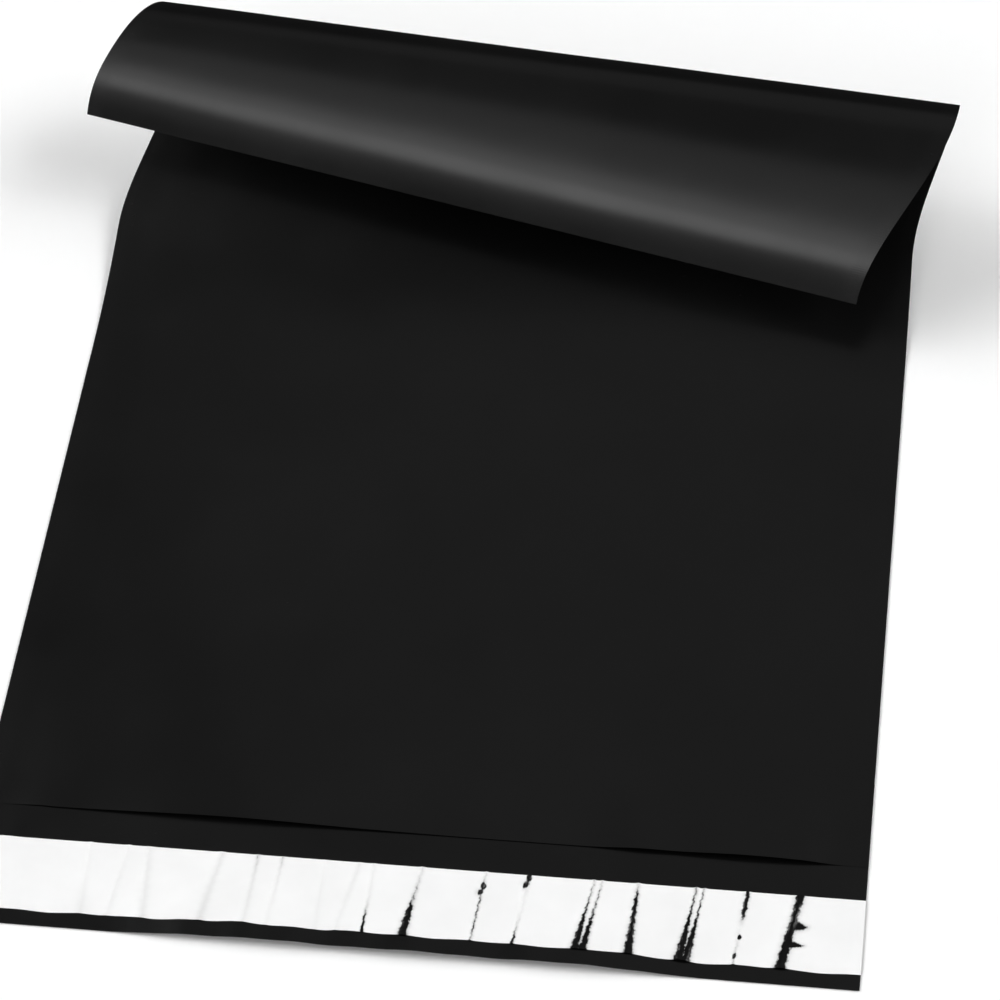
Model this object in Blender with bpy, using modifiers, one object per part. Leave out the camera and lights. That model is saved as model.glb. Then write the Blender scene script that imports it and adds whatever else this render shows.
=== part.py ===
"""A poly mailer bag that lies on its back panel, with its folded far end curled back over it.

The bag is one web of film: a back panel with a lip past the mouth, and a front panel welded
to it along both sides and at the far end. The lip carries a band of adhesive under a
release liner. Width runs along X, length along Y from the lip to the far end, and the flat
underside lies at Z = 0. Heights in the flat bag are measured from that underside.
"""

import math

import bmesh
import bpy
import numpy as np
from mathutils import Matrix, Vector

# Bag, flat
BAG_WIDTH = 0.254
POCKET_LENGTH = 0.343
LIP_LENGTH = 0.038
FILM_THICKNESS = 0.0000635
SIDE_WELD = 0.005
END_WELD = 0.004
WELD_BITE = 0.00002
WELD_SLOPE = 0.003
POCKET_GAP = 0.0003
MOUTH_LIFT_DEPTH = 0.020
FRONT_INSET = 0.0001

# Curl of the far end. Its places are distances along the film from where it leaves the
# table, and its rulings are the straight lines across the film that it bends about. They turn
# to the crown's angle as the film rises, and past the crown back to the free edge's line.
CURL_LENGTH = 0.181
CURL_EASE = 0.015
RISE_RADIUS = 0.160
FLAP_LENGTH = 0.0629
CROWN_RADIUS = 0.0124
CROWN_SPREAD = 0.0194
FLAP_RADIUS = 0.117
EDGE_BEND = math.radians(14)
EDGE_BEND_INSET = 0.014
EDGE_BEND_SPREAD = 0.005
RULING_START = math.radians(0.5)
RULING_CROWN = math.radians(-6.0)
RULING_TURN = 0.0511
RULING_RETURN_FROM = 0.010
RULING_RETURN_INSET = 0.012

# Sideways drift of the curled film, which small wrinkles take up on the real bag
DRIFT = 0.0152
DRIFT_LENGTH = 0.068

# Adhesive band and release liner on the lip
LINER_MARGIN = 0.0046
LINER_WIDTH = 0.0229
LINER_THICKNESS = 0.00006
ADHESIVE_INSET = 0.002
ADHESIVE_THICKNESS = 0.00008
SEAT_CLEARANCE = 0.00002
CREASE_HALF_WIDTH = 0.0009
CREASE_LEAN = 0.2

# Creases across the liner: distance from its left end, and height
CREASES = (
    (0.030, 0.0004),
    (0.038, 0.0004),
    (0.047, 0.0006),
    (0.065, 0.0004),
    (0.077, 0.0004),
    (0.085, 0.0004),
    (0.098, 0.0005),
    (0.106, 0.0005),
    (0.113, 0.0006),
    (0.126, 0.0007),
    (0.145, 0.0006),
    (0.157, 0.0006),
    (0.177, 0.0009),
    (0.190, 0.0009),
    (0.206, 0.0010),
    (0.220, 0.0006),
    (0.235, 0.0010),
)

# Lifts of the front panel's mouth edge: distance from its left end, height, and half width
MOUTH_LIFTS = (
    (0.072, 0.0009, 0.030),
    (0.222, 0.0011, 0.022),
)

# The origin lies on the underside, at mid-width and this far from the lip's edge
ORIGIN_FROM_LIP = 0.120

# Steps of the meshes
COLUMNS = 10
ROWS = 46
FLAT_BEND = 5.0
CURL_STEPS = 240
LINER_ROWS = 3
LIP_STEP = 0.019
LINER_STEP = 0.010

BAG_LENGTH = LIP_LENGTH + POCKET_LENGTH
LIFT_OFF = BAG_LENGTH - CURL_LENGTH
CROWN_AT = CURL_LENGTH - FLAP_LENGTH
HALF_WIDTH = BAG_WIDTH / 2
POCKET_HALF = HALF_WIDTH - SIDE_WELD


def clear_scene():
    for obj in list(bpy.data.objects):
        bpy.data.objects.remove(obj, do_unlink=True)


def collection_named(name):
    collection = bpy.data.collections.new(name)
    bpy.context.scene.collection.children.link(collection)
    return collection


def plastic(name, color, roughness):
    material = bpy.data.materials.new(name)
    material.use_nodes = True
    shader = material.node_tree.nodes["Principled BSDF"]
    shader.inputs["Base Color"].default_value = (*color, 1.0)
    shader.inputs["Roughness"].default_value = roughness
    return material


def smooth_step(value):
    value = min(max(value, 0.0), 1.0)
    return value * value * (3 - 2 * value)


def film_bend(distance):
    """Bend of the film, in radians per metre, at a distance along the curl."""
    past_crown = (distance - CROWN_AT) / CROWN_SPREAD
    flap_share = 0.5 * (1 + math.tanh(past_crown))
    slack = (1 - flap_share) / RISE_RADIUS + flap_share / FLAP_RADIUS
    crown = math.exp(-past_crown * past_crown) / CROWN_RADIUS
    past_edge_bend = (distance - CURL_LENGTH + EDGE_BEND_INSET) / EDGE_BEND_SPREAD
    edge = EDGE_BEND * math.exp(-past_edge_bend * past_edge_bend)
    edge /= EDGE_BEND_SPREAD * math.sqrt(math.pi)
    return (slack + crown + edge) * min(max(distance / CURL_EASE, 0.0), 1.0)


def ruling_angle(distance):
    """Angle of the film's ruling to X, in the flat film."""
    angle = RULING_START + (RULING_CROWN - RULING_START) * smooth_step(distance / RULING_TURN)
    back_from = CROWN_AT + RULING_RETURN_FROM
    back_to = CURL_LENGTH - RULING_RETURN_INSET
    return angle * (1 - smooth_step((distance - back_from) / (back_to - back_from)))


def film_drift(y):
    """Sideways drift of the film at a distance from the lip's edge."""
    crown = LIFT_OFF + CROWN_AT
    rising = smooth_step((y - crown + DRIFT_LENGTH) / DRIFT_LENGTH)
    falling = smooth_step((BAG_LENGTH - y) / (BAG_LENGTH - crown))
    return DRIFT * rising * falling


class Curl:
    """Holds the bent film's rulings and places points of the flat film on it."""

    def __init__(self):
        reach = CURL_LENGTH + HALF_WIDTH * abs(math.tan(RULING_CROWN)) + CURL_EASE
        step = reach / CURL_STEPS
        across, along = Vector((1, 0, 0)), Vector((0, 1, 0))
        middle = Vector((0, LIFT_OFF, 0))
        places, slants, middles, rulings, normals, sideways = [], [], [], [], [], []
        for i in range(CURL_STEPS + 1):
            angle = ruling_angle(i * step)
            ruling = across * math.cos(angle) + along * math.sin(angle)
            places.append(LIFT_OFF + i * step)
            slants.append(math.tan(angle))
            middles.append(middle.copy())
            rulings.append(ruling / math.cos(angle))
            normals.append(across.cross(along))
            sideways.append(across.copy())
            turn = Matrix.Rotation(film_bend(i * step) * step * math.cos(angle), 3, ruling)
            bent = turn @ along
            middle = middle + (along + bent) * (step / 2)
            across, along = turn @ across, bent
        self.places, self.slants = np.array(places), np.array(slants)
        self.middles, self.rulings = np.array(middles), np.array(rulings)
        self.normals, self.sideways = np.array(normals), np.array(sideways)

    def point(self, x, y, height):
        """World place of the flat film's point (x, y), at a height along the film's normal."""
        places = self.places + x * self.slants
        if y <= places[0]:
            return Vector((x, y - ORIGIN_FROM_LIP, height))
        lines = self.middles + x * self.rulings + height * self.normals
        lines += film_drift(y) * self.sideways
        found = [np.interp(y, places, lines[:, axis]) for axis in range(3)]
        return Vector((found[0], found[1] - ORIGIN_FROM_LIP, found[2]))


def spaced(low, high, count):
    return [low + (high - low) * i / count for i in range(count + 1)]


def row_places(start, end):
    """Places along the bag from start to end, closer together where the film bends more."""
    fine = np.linspace(start, end, 40 * ROWS)
    weight = np.array([film_bend(place - LIFT_OFF) + FLAT_BEND for place in fine])
    turned = np.concatenate([[0.0], np.cumsum(weight[1:] + weight[:-1])])
    return np.interp(np.linspace(0, turned[-1], ROWS + 1), turned, fine)


def row_slant(place):
    """Slope of a row of vertices: the crown's rulings near the crown, and square to the bag elsewhere."""
    off = (place - LIFT_OFF - CROWN_AT) / (BAG_LENGTH - LIFT_OFF - CROWN_AT)
    return math.tan(RULING_CROWN) * (1 - smooth_step(abs(off)))


def grid_object(name, columns, rows, place, collection, material):
    """A sheet of faces over columns by rows. place(x, y) gives each vertex."""
    bm = bmesh.new()
    bmesh.ops.create_grid(bm, x_segments=len(columns) - 1, y_segments=len(rows) - 1, size=1)
    for vert in bm.verts:
        column = round((vert.co.x + 1) / 2 * (len(columns) - 1))
        row = round((vert.co.y + 1) / 2 * (len(rows) - 1))
        vert.co = place(columns[column], rows[row])
    bmesh.ops.triangulate(bm, faces=bm.faces[:], quad_method="FIXED")
    mesh = bpy.data.meshes.new(name)
    bm.to_mesh(mesh)
    bm.free()
    mesh.shade_smooth()
    obj = bpy.data.objects.new(name, mesh)
    collection.objects.link(obj)
    mesh.materials.append(material)
    return obj


def thicken(obj, thickness):
    solidify = obj.modifiers.new("Thickness", "SOLIDIFY")
    solidify.thickness = thickness
    solidify.offset = 1
    solidify.use_even_offset = True


def panel_gap(x, y):
    """Gap between the panels. It is below zero in the welds, where they are melted together."""
    inward = min(POCKET_HALF - abs(x), BAG_LENGTH - END_WELD - y)
    open_share = smooth_step(inward / WELD_SLOPE)
    from_mouth = (y - LIP_LENGTH) / MOUTH_LIFT_DEPTH
    lift = math.exp(-from_mouth * from_mouth) * sum(
        height * math.exp(-(((x + HALF_WIDTH - at) / half) ** 2)) for at, height, half in MOUTH_LIFTS
    )
    return open_share * (POCKET_GAP + lift + WELD_BITE) - WELD_BITE


def bag_columns(half_width):
    """Places across the bag, with the welds' inner edges among them."""
    edge = [POCKET_HALF, POCKET_HALF - WELD_SLOPE / 2, POCKET_HALF - WELD_SLOPE]
    middle = spaced(-edge[-1], edge[-1], COLUMNS)[1:-1]
    return [-half_width, *(-x for x in edge), *middle, *reversed(edge), half_width]


def bag_rows(end):
    """Places along the bag from the mouth to its end, with the end weld's inner edge among them."""
    weld = BAG_LENGTH - END_WELD
    pocket = row_places(LIP_LENGTH, weld - WELD_SLOPE)
    return [*pocket, weld - WELD_SLOPE / 2, weld, end]


def panel(name, curl, columns, rows, base, collection, material):
    """One film of the bag, whose underside lies at base(x, y) over the bag's."""

    def place(x, y):
        slanted = y + x * row_slant(y)
        return curl.point(x, slanted, base(x, slanted))

    obj = grid_object(name, columns, rows, place, collection, material)
    thicken(obj, FILM_THICKNESS)
    return obj


def bag_film(curl, part, joined, material):
    """The bag's one web of film, with its pocket open at the mouth."""
    lip = spaced(0.0, LIP_LENGTH, round(LIP_LENGTH / LIP_STEP))[:-1]
    film = panel(
        "bag_film",
        curl,
        bag_columns(HALF_WIDTH),
        lip + bag_rows(BAG_LENGTH),
        lambda x, y: 0.0,
        part,
        material,
    )
    front = panel(
        "front_panel",
        curl,
        bag_columns(HALF_WIDTH - FRONT_INSET),
        bag_rows(BAG_LENGTH - FRONT_INSET),
        lambda x, y: FILM_THICKNESS + panel_gap(x, y),
        joined,
        material,
    )
    front.hide_render = True
    front.display_type = "WIRE"
    weld = film.modifiers.new("Front panel", "BOOLEAN")
    weld.operation = "UNION"
    weld.solver = "EXACT"
    weld.object = front


def adhesive_band(part, material):
    """The strip of adhesive that the liner covers."""
    low = LINER_MARGIN + ADHESIVE_INSET
    high = LINER_MARGIN + LINER_WIDTH - ADHESIVE_INSET
    base = FILM_THICKNESS + SEAT_CLEARANCE
    size = Vector((BAG_WIDTH - 2 * ADHESIVE_INSET, high - low, ADHESIVE_THICKNESS))
    middle = Vector((0, (low + high) / 2 - ORIGIN_FROM_LIP, base + ADHESIVE_THICKNESS / 2))
    bm = bmesh.new()
    bmesh.ops.create_cube(bm, size=1)
    bmesh.ops.scale(bm, verts=bm.verts, vec=size)
    bmesh.ops.translate(bm, verts=bm.verts, vec=middle)
    mesh = bpy.data.meshes.new("adhesive_band")
    bm.to_mesh(mesh)
    bm.free()
    mesh.materials.append(material)
    part.objects.link(bpy.data.objects.new("adhesive_band", mesh))


def crease_height(x):
    """Height of the liner's creases over its flat run, at a distance from its left end."""
    return sum(
        height * math.exp(-(((x - at) / CREASE_HALF_WIDTH) ** 2)) for at, height in CREASES
    )


def liner_columns():
    """Distances from the liner's left end: close together at each crease, wide apart elsewhere."""
    columns = spaced(0.0, BAG_WIDTH, round(BAG_WIDTH / LINER_STEP))
    for at, _ in CREASES:
        reach = 2.5 * CREASE_HALF_WIDTH
        columns = [x for x in columns if abs(x - at) > reach + CREASE_HALF_WIDTH]
        columns += spaced(at - reach, at + reach, 6)
    return sorted(columns)


def release_liner(part, material):
    """The liner strip, lifted off the adhesive where it is creased."""
    base = FILM_THICKNESS + ADHESIVE_THICKNESS + 2 * SEAT_CLEARANCE
    low = LINER_MARGIN
    middle = low + LINER_WIDTH / 2

    def place(x, y):
        within = math.sin(math.pi * x / BAG_WIDTH)
        leaned = x + CREASE_LEAN * (y - middle) * within
        return Vector((leaned - HALF_WIDTH, y - ORIGIN_FROM_LIP, base + crease_height(x)))

    rows = spaced(low, low + LINER_WIDTH, LINER_ROWS)
    liner = grid_object("release_liner", liner_columns(), rows, place, part, material)
    thicken(liner, LINER_THICKNESS)


def main():
    clear_scene()
    part = collection_named("poly_mailer_bag")
    joined = collection_named("joined_shapes")
    film = plastic("black_film", (0.011, 0.011, 0.011), 0.35)
    adhesive = plastic("clear_adhesive", (0.55, 0.52, 0.42), 0.3)
    liner = plastic("white_liner", (0.86, 0.86, 0.86), 0.45)
    curl = Curl()
    bag_film(curl, part, joined, film)
    adhesive_band(part, adhesive)
    release_liner(part, liner)


main()
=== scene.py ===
"""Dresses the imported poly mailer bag: its web of film, its adhesive and its release liner.

The main sizes of the bag, its curl, the adhesive and the liner repeat the part's own. The slope
of the side welds, the pocket's gap, the mouth's lifts and the liner's creases are set for the
look and differ from the part's. A flat place is a distance from the middle of the bag's width
and a distance from the lip's edge. Heights in the flat bag are measured from its underside.
"""

import math

import bpy
import numpy as np
from mathutils import Matrix, Vector

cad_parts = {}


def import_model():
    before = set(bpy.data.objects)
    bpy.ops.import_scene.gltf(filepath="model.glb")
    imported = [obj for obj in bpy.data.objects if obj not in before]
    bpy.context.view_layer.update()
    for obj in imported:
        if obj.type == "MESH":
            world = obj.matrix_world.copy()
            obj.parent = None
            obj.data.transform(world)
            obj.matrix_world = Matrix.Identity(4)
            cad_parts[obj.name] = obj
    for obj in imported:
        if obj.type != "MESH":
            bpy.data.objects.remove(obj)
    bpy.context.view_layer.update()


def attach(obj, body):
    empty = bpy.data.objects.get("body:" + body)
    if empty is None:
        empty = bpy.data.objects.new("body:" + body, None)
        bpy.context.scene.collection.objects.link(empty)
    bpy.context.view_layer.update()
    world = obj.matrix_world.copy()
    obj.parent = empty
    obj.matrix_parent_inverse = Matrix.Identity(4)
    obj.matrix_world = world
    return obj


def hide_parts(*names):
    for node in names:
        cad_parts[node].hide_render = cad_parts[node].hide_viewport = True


# Bag, flat
BAG_WIDTH = 0.254
BAG_LENGTH = 0.381
LIP_LENGTH = 0.038
FILM_THICKNESS = 0.0000635
SIDE_WELD = 0.005
END_WELD = 0.004
WELD_SLOPE = 0.014
SEAL_GAP = 0.00002
POCKET_GAP = 0.00022
MOUTH_LIFT_DEPTH = 0.020
HALF_WIDTH = BAG_WIDTH / 2
POCKET_HALF = HALF_WIDTH - SIDE_WELD
ORIGIN_FROM_LIP = 0.120

# Curl of the far end
CURL_LENGTH = 0.181
CURL_EASE = 0.015
RISE_RADIUS = 0.160
FLAP_LENGTH = 0.0629
CROWN_RADIUS = 0.0124
CROWN_SPREAD = 0.0194
FLAP_RADIUS = 0.117
EDGE_BEND = math.radians(14)
EDGE_BEND_INSET = 0.014
EDGE_BEND_SPREAD = 0.005
RULING_START = math.radians(0.5)
RULING_CROWN = math.radians(-6.0)
RULING_TURN = 0.0511
RULING_RETURN_FROM = 0.010
RULING_RETURN_INSET = 0.012
DRIFT = 0.0152
DRIFT_LENGTH = 0.068
CURL_STEPS = 960
LIFT_OFF = BAG_LENGTH - CURL_LENGTH
CROWN_AT = CURL_LENGTH - FLAP_LENGTH

# Adhesive and release liner
LINER_MARGIN = 0.0046
LINER_WIDTH = 0.0229
LINER_THICKNESS = 0.00006
ADHESIVE_INSET = 0.002
ADHESIVE_THICKNESS = 0.00008
SEAT_CLEARANCE = 0.00002

# Lifts of the front panel's mouth edge: distance from its left end, height and half width
MOUTH_LIFTS = ((0.073, 0.0017, 0.035), (0.190, 0.0009, 0.009), (0.222, 0.0018, 0.023))

# The lip's edge rises a little from the table between these places
LIP_RISE = 0.0025
LIP_RISE_FROM = -0.052
LIP_RISE_TO = 0.054
LIP_RISE_FADE = 0.032
LIP_RISE_DEPTH = 0.030

# Ripples of that rise, as rows for sines: share of its height, turn per metre, phase
LIP_RIPPLES = ((0.12, 155, 0.8), (0.07, 390, 0.0))

# A crease in the lip: its distance from the left end at one distance from the lip's edge, its
# lean from there, its height, how wide it rises and falls, and where it fades along the bag
LIP_CREASE_AT = 0.0183
LIP_CREASE_AT_Y = 0.0373
LIP_CREASE_LEAN = 0.67
LIP_CREASE_HEIGHT = 0.0003
LIP_CREASE_RISE = 0.012
LIP_CREASE_FALL = 0.0024
LIP_CREASE_FROM = 0.022
LIP_CREASE_FROM_FADE = 0.008
LIP_CREASE_TO = 0.046
LIP_CREASE_TO_FADE = 0.010

# Swells of the slack film: their height in the curl and in the flat front panel, and how far
# they take to fade in from the side welds, from where the film lifts off and from the end weld
CURL_SWELL = 0.00005
PANEL_SWELL = 0.00006
SWELL_SIDE_FADE = 0.03
SWELL_CURL_FADE = 0.05
SWELL_END_FADE = 0.02

# Width over which a weld's look fades in
WELD_EDGE = 0.0012

# Creases across the liner, in order from its left end: place at its upper and lower edge, half
# width there, height, and how dark the shade painted along it shows at five places from its lower
# edge to its upper. The shade is painted into the liner's colour: grey in shallow creases, black in
# deep ones
CREASES = (
    (0.0350, 0.0360, 0.0010, 0.0016, 0.0003, (0.12, 0.10, 0.05, 0.02, 0.00)),
    (0.0462, 0.0436, 0.0010, 0.0012, 0.0003, (0.06, 0.08, 0.07, 0.03, 0.00)),
    (0.0519, 0.0540, 0.0013, 0.0016, 0.0004, (0.20, 0.16, 0.14, 0.12, 0.08)),
    (0.0731, 0.0705, 0.0011, 0.0014, 0.0004, (0.24, 0.20, 0.18, 0.16, 0.18)),
    (0.0834, 0.0831, 0.0007, 0.0011, 0.0003, (0.13, 0.13, 0.16, 0.22, 0.42)),
    (0.0905, 0.0896, 0.0006, 0.0010, 0.0003, (0.06, 0.07, 0.09, 0.15, 0.38)),
    (0.1025, 0.1034, 0.0008, 0.0010, 0.0002, (0.05, 0.07, 0.06, 0.02, 0.00)),
    (0.1125, 0.1090, 0.0009, 0.0011, 0.0003, (0.08, 0.09, 0.10, 0.11, 0.12)),
    (0.1168, 0.1166, 0.0007, 0.0005, 0.0003, (0.95, 0.60, 0.12, 0.08, 0.12)),
    (0.1304, 0.1280, 0.0007, 0.0014, 0.0005, (1.00, 1.00, 0.50, 0.34, 0.20)),
    (0.1484, 0.1470, 0.0005, 0.0005, 0.0005, (0.46, 0.55, 0.52, 0.60, 0.15)),
    (0.1607, 0.1586, 0.0006, 0.0005, 0.0005, (0.85, 0.36, 0.08, 0.16, 1.00)),
    (0.1789, 0.1759, 0.0005, 0.0013, 0.0006, (1.00, 0.84, 0.62, 0.50, 0.38)),
    (0.1811, 0.1781, 0.0005, 0.0012, 0.0004, (1.00, 0.80, 0.58, 0.48, 0.32)),
    (0.1911, 0.1905, 0.0008, 0.0014, 0.0007, (1.00, 0.92, 0.80, 0.80, 0.24)),
    (0.2074, 0.2043, 0.0006, 0.0015, 0.0007, (1.00, 0.96, 0.76, 0.60, 0.50)),
    (0.2095, 0.2063, 0.0005, 0.0013, 0.0005, (1.00, 0.94, 0.72, 0.56, 0.44)),
    (0.2216, 0.2192, 0.0008, 0.0005, 0.0004, (0.40, 0.34, 0.06, 1.00, 0.70)),
    (0.2361, 0.2320, 0.0014, 0.0016, 0.0008, (1.00, 1.00, 0.90, 0.80, 1.00)),
)

# Black flecks of shade painted beside the liner's creases: distance from the liner's left end, share
# of its width, reach to the left, reach to the right, and half height
FLECKS = (
    (0.1483, 0.79, 0.0009, 0.0008, 0.0014),
    (0.1478, 0.70, 0.0010, 0.0007, 0.0011),
    (0.1605, 0.95, 0.0007, 0.0009, 0.0016),
    (0.1599, 0.85, 0.0008, 0.0009, 0.0013),
    (0.2204, 0.37, 0.0006, 0.0006, 0.0009),
    (0.2194, 0.11, 0.0005, 0.0006, 0.0011),
    (0.2352, 0.58, 0.0006, 0.0034, 0.0017),
    (0.2342, 0.33, 0.0005, 0.0036, 0.0012),
)

# Wander of a crease to its sides: width, turn per metre along it, and phase per metre of its
# place. A crease lower than FULL_WANDER_RISE wanders less
CREASE_WANDER = ((0.00012, 2100, 900), (0.00008, 5300, 300))
FULL_WANDER_RISE = 0.0004

# A crease whose painted shade is dark at the liner's lower edge is wider there, by this share and
# over this share of its length
CREASE_FOOT_SPREAD = 0.25
CREASE_FOOT_REACH = 0.04

# Waver of the liner's lower edge, as rows for sines, and height of its broad puckers
LINER_WAVER = ((0.00022, 173, 0.4), (0.00012, 407, 0.0))
LINER_PUCKER = 0.00005

# Steps of the meshes
FILM_STEP = 0.0027
BEND_SHARE = 8.0
WELD_SLOPE_STEP = 0.0014
WELD_STEP = 0.00125
ROW_SAMPLES = 8000
FOLD_STEPS = 6
ADHESIVE_STEP_ACROSS = 0.0025
ADHESIVE_STEP_ALONG = 0.0012
LINER_STEP = 0.0016
CREASE_STEP = 0.0002
CREASE_REACH = 2.4
LINER_ROWS = 60

# Where the film's rows are denser: distance from the lip's edge, rows per metre, half width
DENSE_ROWS = ((LIP_LENGTH, 500, 0.004), (BAG_LENGTH, 900, 0.008))

# Distances of the last rows before the fold from its start
NEAR_FOLD = (0.0004, 0.00015, 0.00005, 0.0)

# Camera, as fitted to the photograph's perspective
CAMERA_AT = (0.144712, -0.536710, 0.819588)
CAMERA_RIGHT = (0.989086, 0.126391, -0.075727)
CAMERA_UP = (-0.059859, 0.814327, 0.577311)
CAMERA_BACK = (0.134633, -0.566478, 0.813005)
CAMERA_LENS = 120.472
SENSOR = 36.0

# Studio
FLOOR_Z = -0.0003
FLOOR_HALF = 30.0
FLOOR_WHITE = 0.98
CARD_Z = FLOOR_Z + 0.0001

# Brightness of the horizon and the sky, and the heights between which one fades to the other
HORIZON = 1.0
SKY = 0.085
HORIZON_FADE_FROM = 0.05
HORIZON_FADE_TO = 0.35

# Cards that only reflections show: name, half width, the y and height of their first and last
# edge, glow, its lean across, and the leaning heights between which it grows
CARDS = (
    ("black_card", 1.5, (0.10, CARD_Z), (1.6, CARD_Z), 0.02, 0.0, (-1.0, 0.0)),
    ("back_card", 1.5, (1.6, CARD_Z), (1.6, 1.0), 0.02, 0.0, (-1.0, 0.0)),
    ("grey_card", 2.0, (-1.6, CARD_Z), (-1.6, 0.43), 0.24, 0.3, (-0.095, 0.105)),
)

# Broad soft lamps far off: name, azimuth from the front towards the right, elevation and spread
# in degrees, and strength
LAMPS = (
    ("front_core", -22.5, 30, 20, 0.085),
    ("front_lamp", -23, 36, 34, 0.31),
    ("front_fill", -24, 44, 54, 0.26),
    ("left_lamp", -92, 42, 34, 1.0),
    ("left_back_lamp", -114, 34, 34, 1.05),
    ("right_lamp", 92, 42, 34, 1.0),
    ("right_back_lamp", 114, 34, 34, 1.05),
    ("back_fill", 172, 53, 36, 0.032),
)


def smooth_step(value):
    value = np.clip(value, 0.0, 1.0)
    return value * value * (3 - 2 * value)


def sines(place, rows):
    """Sum of sines along a line. A row is a height, a turn in radians per metre, and a phase."""
    return sum(height * np.sin(place * turn + phase) for height, turn, phase in rows)


def film_bend(distance):
    """Bend of the film, in radians per metre, at a distance along the curl."""
    past_crown = (distance - CROWN_AT) / CROWN_SPREAD
    flap_share = 0.5 * (1 + np.tanh(past_crown))
    slack = (1 - flap_share) / RISE_RADIUS + flap_share / FLAP_RADIUS
    crown = np.exp(-past_crown * past_crown) / CROWN_RADIUS
    past_edge_bend = (distance - CURL_LENGTH + EDGE_BEND_INSET) / EDGE_BEND_SPREAD
    edge = EDGE_BEND * np.exp(-past_edge_bend * past_edge_bend)
    edge /= EDGE_BEND_SPREAD * math.sqrt(math.pi)
    return (slack + crown + edge) * np.clip(distance / CURL_EASE, 0.0, 1.0)


def ruling_angle(distance):
    """Angle of the film's ruling to X, in the flat film."""
    angle = RULING_START + (RULING_CROWN - RULING_START) * smooth_step(distance / RULING_TURN)
    back_from = CROWN_AT + RULING_RETURN_FROM
    back_to = CURL_LENGTH - RULING_RETURN_INSET
    return angle * (1 - smooth_step((distance - back_from) / (back_to - back_from)))


def film_drift(y):
    """Sideways drift of the curled film at a distance from the lip's edge."""
    crown = LIFT_OFF + CROWN_AT
    rising = smooth_step((y - crown + DRIFT_LENGTH) / DRIFT_LENGTH)
    falling = smooth_step((BAG_LENGTH - y) / (BAG_LENGTH - crown))
    return DRIFT * rising * falling


class Curl:
    """Holds the bent film's rulings and places the flat film on them."""

    def __init__(self):
        reach = CURL_LENGTH + HALF_WIDTH * abs(math.tan(RULING_CROWN)) + CURL_EASE
        step = reach / CURL_STEPS
        across, along = Vector((1, 0, 0)), Vector((0, 1, 0))
        middle = Vector((0, LIFT_OFF, 0))
        places, slants, middles, rulings, normals, sideways = [], [], [], [], [], []
        for i in range(CURL_STEPS + 1):
            angle = float(ruling_angle(i * step))
            ruling = across * math.cos(angle) + along * math.sin(angle)
            places.append(LIFT_OFF + i * step)
            slants.append(math.tan(angle))
            middles.append(middle.copy())
            rulings.append(ruling / math.cos(angle))
            normals.append(across.cross(along))
            sideways.append(across.copy())
            bend = float(film_bend(i * step)) * step * math.cos(angle)
            rotation = Matrix.Rotation(bend, 3, ruling)
            bent = rotation @ along
            middle = middle + (along + bent) * (step / 2)
            across, along = rotation @ across, bent
        self.places, self.slants = np.array(places), np.array(slants)
        self.middles, self.rulings = np.array(middles), np.array(rulings)
        self.normals, self.sideways = np.array(normals), np.array(sideways)

    def lay(self, columns, y, height):
        """World places of a grid: its columns' x, and each point's y and height."""
        laid = np.zeros((*y.shape, 3))
        for j, x in enumerate(columns):
            places = self.places + x * self.slants
            lines = self.middles + x * self.rulings
            flat = y[:, j] <= places[0]
            for axis in range(3):
                base = np.interp(y[:, j], places, lines[:, axis])
                normal = np.interp(y[:, j], places, self.normals[:, axis])
                aside = np.interp(y[:, j], places, self.sideways[:, axis])
                curled = base + height[:, j] * normal + film_drift(y[:, j]) * aside
                level = (np.full_like(y[:, j], x), y[:, j], height[:, j])[axis]
                laid[:, j, axis] = np.where(flat, level, curled)
            laid[:, j, 1] -= ORIGIN_FROM_LIP
        return laid


def grid_object(name, laid, thickness, attributes, material):
    """A sheet of faces over a grid of places, thickened evenly to both sides."""
    rows, columns = laid.shape[:2]
    index = np.arange(rows * columns).reshape(rows, columns)
    corners = (index[:-1, :-1], index[:-1, 1:], index[1:, 1:], index[1:, :-1])
    mesh = bpy.data.meshes.new(name)
    mesh.from_pydata(laid.reshape(-1, 3).tolist(), [], np.stack(corners, -1).reshape(-1, 4).tolist())
    for label, values in attributes.items():
        if values.ndim == 3:
            layer = mesh.attributes.new(label, "FLOAT_VECTOR", "POINT")
            layer.data.foreach_set("vector", values.astype(np.float32).ravel())
        else:
            layer = mesh.attributes.new(label, "FLOAT", "POINT")
            layer.data.foreach_set("value", values.astype(np.float32).ravel())
    mesh.shade_smooth()
    ends = np.empty(len(mesh.edges) * 2, dtype=np.int64)
    mesh.edges.foreach_get("vertices", ends)
    # The rim's edges are sharp, so that the thickened rim is shaded apart from the faces
    across, along = ends.reshape(-1, 2) % columns, ends.reshape(-1, 2) // columns
    rim = [(side == place).all(1) for side, place in
           ((across, 0), (across, columns - 1), (along, 0), (along, rows - 1))]
    sharp = mesh.attributes.new("sharp_edge", "BOOLEAN", "EDGE")
    sharp.data.foreach_set("value", np.any(rim, axis=0))
    mesh.materials.append(material)
    obj = bpy.data.objects.new(name, mesh)
    bpy.context.scene.collection.objects.link(obj)
    solidify = obj.modifiers.new("Thickness", "SOLIDIFY")
    solidify.thickness = thickness
    solidify.offset = 0
    return obj


def even(low, high, step):
    return np.linspace(low, high, max(2, int(round((high - low) / step)) + 1))


def film_columns():
    """Places across the bag, with the welds' inner edges among them."""
    inner = POCKET_HALF - WELD_SLOPE
    slope = even(inner, POCKET_HALF, WELD_SLOPE_STEP)
    weld = even(POCKET_HALF, HALF_WIDTH, WELD_STEP)
    half = np.concatenate([slope, weld[1:]])
    return np.concatenate([-half[::-1], even(-inner, inner, FILM_STEP)[1:-1], half])


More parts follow.
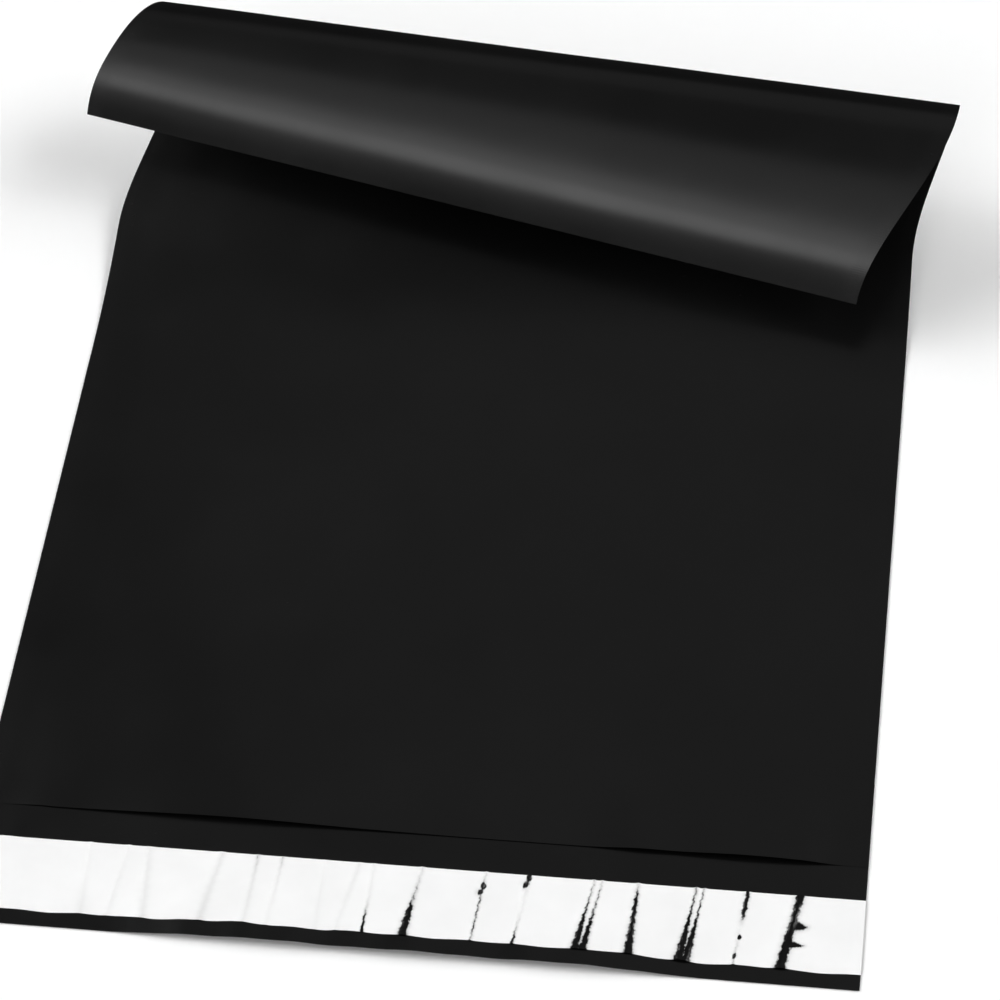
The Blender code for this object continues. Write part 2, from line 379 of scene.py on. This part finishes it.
def film_rows(start, end):
    """Places along the bag from start to end, closer together where the film bends."""
    fine = np.linspace(start, end, ROW_SAMPLES)
    weight = 1 / FILM_STEP + BEND_SHARE * film_bend(fine - LIFT_OFF)
    for place, rows, reach in DENSE_ROWS:
        weight += rows * np.exp(-(((fine - place) / reach) ** 2))
    parts = (weight[1:] + weight[:-1]) / 2 * (fine[1] - fine[0])
    total = np.concatenate([[0.0], np.cumsum(parts)])
    return np.interp(np.linspace(0, total[-1], int(total[-1]) + 1), total, fine)


def panel_gap(x, y):
    """Gap between the panels: a hair's breadth in the welds, and open in the pocket."""
    inward = np.minimum(POCKET_HALF - np.abs(x), BAG_LENGTH - END_WELD - y)
    open_share = smooth_step(inward / WELD_SLOPE)
    from_mouth = (y - LIP_LENGTH) / MOUTH_LIFT_DEPTH
    lift = sum(
        height * np.exp(-(((x + HALF_WIDTH - at) / half) ** 2)) for at, height, half in MOUTH_LIFTS
    )
    return open_share * (POCKET_GAP + lift * np.exp(-from_mouth * from_mouth)) + SEAL_GAP


def lip_height(x, y):
    """How far the lip stands off the table: its edge rises in the middle."""
    wide = smooth_step((x - LIP_RISE_FROM + LIP_RISE_FADE) / LIP_RISE_FADE)
    wide *= smooth_step((LIP_RISE_TO + LIP_RISE_FADE - x) / LIP_RISE_FADE)
    ripple = 1 + sines(x, LIP_RIPPLES)
    return LIP_RISE * wide * ripple * smooth_step((LIP_RISE_DEPTH - y) / LIP_RISE_DEPTH)


def lip_crease(x, y):
    """A low crease in the lip near its left side: it rises slowly from the left and falls fast."""
    past = x + HALF_WIDTH - (LIP_CREASE_AT + (y - LIP_CREASE_AT_Y) * LIP_CREASE_LEAN)
    along = smooth_step((y - LIP_CREASE_FROM) / LIP_CREASE_FROM_FADE)
    along *= smooth_step((LIP_CREASE_TO - y) / LIP_CREASE_TO_FADE)
    rise = smooth_step(past / LIP_CREASE_RISE + 1)
    fall = 1 - smooth_step(past / LIP_CREASE_FALL)
    return LIP_CREASE_HEIGHT * along * rise * fall


def waves(x, y, height):
    """Slack of the film: shallow swells a few centimetres long, turns in radians per metre."""
    swell = np.sin(x * 71 + y * 23 + 1.3) * np.sin(y * 64 - x * 17 + 0.7)
    swell += 0.6 * np.sin(x * 33 - y * 41 + 2.1) + 0.35 * np.sin(x * 143 + y * 61)
    return height * swell


def film_web(curl, material):
    """The bag's one web of film: lip and back panel, its fold at the far end, front panel."""
    columns = film_columns()
    fold_radius = (FILM_THICKNESS + SEAL_GAP) / 2
    fold_at = BAG_LENGTH - fold_radius
    fold = np.linspace(0, math.pi, FOLD_STEPS + 1)[1:-1]
    near_fold = fold_at - np.array(NEAR_FOLD)
    back = np.concatenate([film_rows(0.0, near_fold[0])[:-1], near_fold])
    front = np.concatenate([film_rows(LIP_LENGTH, near_fold[0])[:-1], near_fold])[::-1]
    rows = np.concatenate([back, fold_at + fold_radius * np.sin(fold), front])
    fold_from, front_from = len(back), len(back) + len(fold)
    x, y = np.meshgrid(columns, rows)
    low = FILM_THICKNESS / 2
    inside = smooth_step((POCKET_HALF - np.abs(x)) / SWELL_SIDE_FADE)
    curled = smooth_step((y - LIFT_OFF) / SWELL_CURL_FADE)
    end = smooth_step((BAG_LENGTH - END_WELD - y) / SWELL_END_FADE)
    lip = lip_height(x, y) + lip_crease(x, y)
    swell = waves(x, y, CURL_SWELL) * curled
    height = low + FILM_THICKNESS + panel_gap(x, y) + lip + swell
    height += waves(x, y, PANEL_SWELL) * inside * end * (1 - curled)
    height[:fold_from] = (low + lip + swell)[:fold_from]
    turn_height = low + fold_radius - fold_radius * np.cos(fold)
    height[fold_from:front_from] = turn_height[:, None] + swell[fold_from:front_from]
    laid = curl.lay(columns, y, height)
    path = np.where(np.arange(len(rows)) < front_from, rows, 2 * BAG_LENGTH - rows)
    places = np.stack([x, np.repeat(path[:, None], len(columns), 1), np.zeros_like(x)], -1)
    weld = 1 - smooth_step((POCKET_HALF - np.abs(x)) / WELD_EDGE + 0.5)
    attributes = {"web_place": places, "weld": weld}
    film = grid_object("film_web", laid, FILM_THICKNESS, attributes, material)
    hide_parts("bag_film")


def adhesive_strip(material):
    """The strip of adhesive, which follows the lip under the liner."""
    low = LINER_MARGIN + ADHESIVE_INSET
    high = LINER_MARGIN + LINER_WIDTH - ADHESIVE_INSET
    half = HALF_WIDTH - ADHESIVE_INSET
    columns = even(-half, half, ADHESIVE_STEP_ACROSS)
    rows = even(low, high, ADHESIVE_STEP_ALONG)
    x, y = np.meshgrid(columns, rows)
    height = FILM_THICKNESS + SEAT_CLEARANCE + ADHESIVE_THICKNESS / 2
    laid = np.stack([x, y - ORIGIN_FROM_LIP, height + lip_height(x, y) + lip_crease(x, y)], -1)
    strip = grid_object("adhesive_strip", laid, ADHESIVE_THICKNESS, {}, material)
    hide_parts("adhesive_band")


def liner_columns():
    """Distances from the liner's left end, close together at its creases, and their lean."""
    columns = list(even(0.0, BAG_WIDTH, LINER_STEP))
    middles, leans = [0.0], [0.0]
    for top, bottom, *halves, _, _ in CREASES:
        middle, reach = (top + bottom) / 2, CREASE_REACH * max(halves)
        columns += list(even(middle - reach, middle + reach, CREASE_STEP))
        middles.append(middle)
        leans.append(top - bottom)
    columns = np.array(sorted(columns))
    # Columns that fall nearly on one another are thinned out
    apart = [columns[0]]
    for place in columns[1:-1]:
        if place - apart[-1] > 0.9 * CREASE_STEP and columns[-1] - place > CREASE_STEP:
            apart.append(place)
    apart = np.array([*apart, columns[-1]])
    return apart, np.interp(apart, [*middles, BAG_WIDTH], [*leans, 0.0])


def liner_strip(material):
    """The release liner: a thin strip, puckered where it has lifted off the adhesive, with shade
    painted along its creases.
    """
    base = FILM_THICKNESS + ADHESIVE_THICKNESS + 2 * SEAT_CLEARANCE + LINER_THICKNESS / 2
    columns, leans = liner_columns()
    rows = np.linspace(0, 1, LINER_ROWS + 1)
    x, up = np.meshgrid(columns, rows)
    x = x + leans * (up - 0.5)
    y = LINER_MARGIN + LINER_WIDTH * up
    height = np.full_like(x, base)
    # Painted shade along the creases and beside them, grey where shallow and black where deep, kept
    # in the liner's shade attribute
    shade = np.zeros_like(x)
    for top, bottom, half_top, half_bottom, rise, dark in CREASES:
        wander = sines(y, [(width, turn, top * shift) for width, turn, shift in CREASE_WANDER])
        wander = wander * min(1, rise / FULL_WANDER_RISE)
        half = half_bottom + (half_top - half_bottom) * smooth_step(up * 1.3)
        foot = np.exp(-((up / CREASE_FOOT_REACH) ** 2))
        half = half * (1 + CREASE_FOOT_SPREAD * dark[0] * foot)
        off = (x - (bottom + (top - bottom) * up) - wander) / half
        swell = 0.75 + 0.25 * np.sin(y * 330 + top * 510)
        height += rise * swell * np.exp(-np.abs(off) ** 1.5)
        depth = np.interp(up, np.linspace(0, 1, len(dark)), dark)
        shade = np.maximum(shade, depth * np.exp(-((off * 1.1) ** 2)))
    # Black flecks of painted shade beside the creases
    for at, share, left, right, tall in FLECKS:
        off_x = (x - at) / np.where(x < at, left, right)
        off_y = (up - share) * LINER_WIDTH / (tall * np.clip(1 - 0.6 * off_x, 0.2, 1))
        shade = np.maximum(shade, np.exp(-(off_x**4) - off_y * off_y))
    height += LINER_PUCKER * (1 + np.sin(x * 420 + y * 60)) * smooth_step(up * (1 - up) * 8)
    y = y + sines(x, LINER_WAVER) * (1 - up)
    x = x - HALF_WIDTH
    laid = np.stack([x, y - ORIGIN_FROM_LIP, height + lip_height(x, y) + lip_crease(x, y)], -1)
    liner = grid_object("liner_strip", laid, LINER_THICKNESS, {"shade": shade}, material)
    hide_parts("release_liner")


class Nodes:
    """A material's nodes, made and joined by name."""

    def __init__(self, name):
        self.material = bpy.data.materials.new(name)
        self.material.use_nodes = True
        self.tree = self.material.node_tree
        self.shader = self.tree.nodes["Principled BSDF"]

    def node(self, kind, inputs=None, **settings):
        made = self.tree.nodes.new(kind)
        for key, value in settings.items():
            setattr(made, key, value)
        for key, value in (inputs or {}).items():
            self.put(value, made.inputs[key])
        return made

    def put(self, value, socket):
        if isinstance(value, bpy.types.NodeSocket):
            self.tree.links.new(value, socket)
        else:
            socket.default_value = value

    def place(self):
        """A point's place in the flat web of film."""
        return self.node("ShaderNodeAttribute", attribute_name="web_place").outputs["Vector"]

    def number(self, name):
        return self.node("ShaderNodeAttribute", attribute_name=name).outputs["Fac"]

    def scaled(self, vector, scale):
        return self.node(
            "ShaderNodeVectorMath", {0: vector, 1: scale}, operation="MULTIPLY"
        ).outputs["Vector"]

    def noise(self, vector, scale, detail=3.0, roughness=0.55):
        inputs = {"Vector": vector, "Scale": scale, "Detail": detail, "Roughness": roughness}
        return self.node("ShaderNodeTexNoise", inputs).outputs["Fac"]

    def spread(self, value, low, high, start=0.3, end=0.7):
        inputs = {"Value": value, "From Min": start, "From Max": end, "To Min": low, "To Max": high}
        return self.node("ShaderNodeMapRange", inputs).outputs["Result"]

    def sum(self, *values):
        total = values[0]
        for value in values[1:]:
            total = self.node("ShaderNodeMath", {0: total, 1: value}, operation="ADD").outputs[0]
        return total

    def times(self, value, factor):
        return self.node("ShaderNodeMath", {0: value, 1: factor}, operation="MULTIPLY").outputs[0]

    def mix(self, share, first, second):
        # The sockets are counted, because several of this node's share one name
        made = self.node("ShaderNodeMix", data_type="RGBA")
        self.put(share, made.inputs["Factor"])
        self.put(first, made.inputs[6])
        self.put(second, made.inputs[7])
        return made.outputs[2]

    def bump(self, height, distance):
        inputs = {"Height": height, "Distance": distance, "Strength": 1.0}
        self.put(self.node("ShaderNodeBump", inputs).outputs["Normal"], self.shader.inputs["Normal"])


def grey(value):
    return (value, value, value, 1.0)


def film_material():
    """Black polyethylene film: satin, with faint die lines, cloudy gloss and pressed welds."""
    nodes = Nodes("film_surface")
    place = nodes.place()
    weld = nodes.number("weld")
    cloud = nodes.noise(place, 11.0, 4.0)
    patch = nodes.noise(place, 38.0, 3.0)
    lines = nodes.noise(nodes.scaled(place, (1300.0, 9.0, 1.0)), 1.0, 2.0)
    scuffs = nodes.noise(nodes.scaled(place, (260.0, 700.0, 1.0)), 1.0, 5.0, 0.7)
    grain = nodes.noise(place, 2600.0, 2.0)
    shade = nodes.mix(nodes.spread(cloud, 0.0, 1.0), grey(0.0026), grey(0.0040))
    shade = nodes.mix(nodes.spread(scuffs, 0.0, 0.5, 0.62, 0.85), shade, grey(0.007))
    nodes.put(shade, nodes.shader.inputs["Base Color"])
    rough = nodes.sum(
        nodes.spread(cloud, 0.20, 0.25),
        nodes.spread(patch, -0.015, 0.02),
        nodes.spread(scuffs, 0.0, 0.07, 0.6, 0.85),
        nodes.times(weld, 0.02),
    )
    nodes.put(rough, nodes.shader.inputs["Roughness"])
    press = nodes.node(
        "ShaderNodeTexWave",
        {"Vector": place, "Scale": 420.0, "Distortion": 0.6, "Detail": 1.0},
        wave_type="BANDS",
        bands_direction="Y",
    ).outputs["Fac"]
    relief = nodes.sum(
        nodes.times(patch, 0.5),
        nodes.times(lines, 0.16),
        nodes.times(grain, 0.05),
        nodes.times(nodes.times(press, weld), 0.10),
    )
    nodes.bump(relief, 0.00009)
    nodes.shader.inputs["IOR"].default_value = 1.5
    return nodes.material


def adhesive_material():
    """Clear hot-melt adhesive, laid in fine beads."""
    nodes = Nodes("adhesive_surface")
    place = nodes.node("ShaderNodeTexCoord").outputs["Object"]
    beads = nodes.noise(nodes.scaled(place, (60.0, 900.0, 1.0)), 1.0, 2.0)
    cloud = nodes.noise(place, 90.0, 3.0)
    shade = nodes.mix(
        nodes.spread(cloud, 0.0, 1.0), (0.50, 0.47, 0.36, 1.0), (0.60, 0.57, 0.47, 1.0)
    )
    nodes.put(shade, nodes.shader.inputs["Base Color"])
    nodes.put(nodes.spread(beads, 0.2, 0.4), nodes.shader.inputs["Roughness"])
    nodes.bump(beads, 0.00004)
    return nodes.material


def liner_material():
    """White coated liner: a fine tooth, soft gloss, and shade painted along its creases, grey to
    black.
    """
    nodes = Nodes("liner_surface")
    place = nodes.node("ShaderNodeTexCoord").outputs["Object"]
    shade = nodes.number("shade")
    tooth = nodes.noise(place, 1800.0, 3.0)
    cloud = nodes.noise(place, 60.0, 3.0)
    broken = nodes.noise(nodes.scaled(place, (1500.0, 800.0, 1.0)), 1.0, 3.0, 0.6)
    white = nodes.mix(nodes.spread(cloud, 0.0, 1.0), grey(0.88), grey(0.92))
    # Painted shade along the creases: grey where it is faint, black with broken edges where it is
    # deep
    painted_crease_grey = nodes.mix(nodes.times(shade, 1.3), white, grey(0.45))
    broken_crease_shade = nodes.sum(shade, nodes.spread(broken, -0.16, 0.16))
    painted_black_crease = nodes.spread(broken_crease_shade, 0.0, 1.0, 0.34, 0.60)
    nodes.put(nodes.mix(painted_black_crease, painted_crease_grey, grey(0.003)), nodes.shader.inputs["Base Color"])
    rough = nodes.spread(tooth, 0.34, 0.46)
    nodes.put(nodes.sum(rough, nodes.times(painted_black_crease, -0.2)), nodes.shader.inputs["Roughness"])
    nodes.shader.inputs["Specular IOR Level"].default_value = 0.35
    nodes.bump(nodes.sum(nodes.times(tooth, 0.12), nodes.times(cloud, 0.8)), 0.00006)
    return nodes.material


def world_light():
    """A dim sky over a pale horizon."""
    world = bpy.data.worlds.new("studio")
    bpy.context.scene.world = world
    world.use_nodes = True
    tree = world.node_tree
    place = tree.nodes.new("ShaderNodeTexCoord")
    split = tree.nodes.new("ShaderNodeSeparateXYZ")
    tree.links.new(place.outputs["Generated"], split.inputs["Vector"])
    fade = tree.nodes.new("ShaderNodeMapRange")
    fade.interpolation_type = "SMOOTHSTEP"
    fade.inputs["From Min"].default_value = HORIZON_FADE_FROM
    fade.inputs["From Max"].default_value = HORIZON_FADE_TO
    fade.inputs["To Min"].default_value = HORIZON
    fade.inputs["To Max"].default_value = SKY
    tree.links.new(split.outputs["Z"], fade.inputs["Value"])
    tree.links.new(fade.outputs["Result"], tree.nodes["Background"].inputs["Strength"])
    tree.nodes["Background"].inputs["Color"].default_value = grey(1.0)


def sun(name, azimuth, elevation, spread, strength):
    """A broad soft lamp far off. Azimuth turns from the front towards the right."""
    data = bpy.data.lights.new(name, "SUN")
    data.energy = strength
    data.angle = math.radians(spread)
    lamp = bpy.data.objects.new(name, data)
    turn, lift = math.radians(azimuth), math.radians(elevation)
    level = math.cos(lift)
    towards = Vector((math.sin(turn) * level, -math.cos(turn) * level, math.sin(lift)))
    lamp.rotation_euler = towards.to_track_quat("Z", "Y").to_euler()
    bpy.context.scene.collection.objects.link(lamp)


def stage_sheet(name, half_width, first, last, material):
    """A flat sheet between two edges along X, each at its y and height."""
    corners = [(-half_width, *first), (half_width, *first), (half_width, *last), (-half_width, *last)]
    mesh = bpy.data.meshes.new(name)
    mesh.from_pydata(corners, [], [(0, 1, 2, 3)])
    mesh.materials.append(material)
    obj = bpy.data.objects.new(name, mesh)
    bpy.context.scene.collection.objects.link(obj)
    return obj


def stage():
    """The floor, and the cards that keep its white out of the black film's reflections."""
    pale = Nodes("floor_surface")
    pale.shader.inputs["Base Color"].default_value = grey(FLOOR_WHITE)
    pale.shader.inputs["Roughness"].default_value = 1.0
    pale.shader.inputs["Specular IOR Level"].default_value = 0.0
    near, far = (-FLOOR_HALF, FLOOR_Z), (FLOOR_HALF, FLOOR_Z)
    stage_sheet("floor", FLOOR_HALF, near, far, pale.material)
    for name, half_width, first, last, glow, lean, ends in CARDS:
        surface = Nodes(name + "_surface")
        surface.shader.inputs["Base Color"].default_value = grey(0.0)
        surface.shader.inputs["Specular IOR Level"].default_value = 0.0
        surface.shader.inputs["Emission Color"].default_value = grey(1.0)
        place = surface.node("ShaderNodeTexCoord").outputs["Object"]
        split = surface.node("ShaderNodeSeparateXYZ", {"Vector": place}).outputs
        slanted = surface.sum(split["Z"], surface.times(split["X"], lean))
        strength = surface.spread(slanted, 0.0, glow, *ends)
        surface.put(strength, surface.shader.inputs["Emission Strength"])
        card = stage_sheet(name, half_width, first, last, surface.material)
        card.visible_camera = card.visible_diffuse = card.visible_shadow = False
        card.visible_transmission = card.visible_volume_scatter = False


def camera():
    data = bpy.data.cameras.new("camera")
    data.sensor_width = SENSOR
    data.lens = CAMERA_LENS
    data.clip_start = 0.02
    obj = bpy.data.objects.new("camera", data)
    turned = Matrix((CAMERA_RIGHT, CAMERA_UP, CAMERA_BACK)).transposed().to_4x4()
    obj.matrix_world = Matrix.Translation(CAMERA_AT) @ turned
    bpy.context.scene.collection.objects.link(obj)
    bpy.context.scene.camera = obj


def main():
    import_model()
    bpy.context.scene.view_settings.view_transform = "Standard"
    camera()
    stage()
    world_light()
    for lamp in LAMPS:
        sun(*lamp)
    adhesive_strip(adhesive_material())
    liner_strip(liner_material())
    film_web(Curl(), film_material())
    for name in ("film_web", "adhesive_strip", "liner_strip"):
        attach(bpy.data.objects[name], "root")


main()
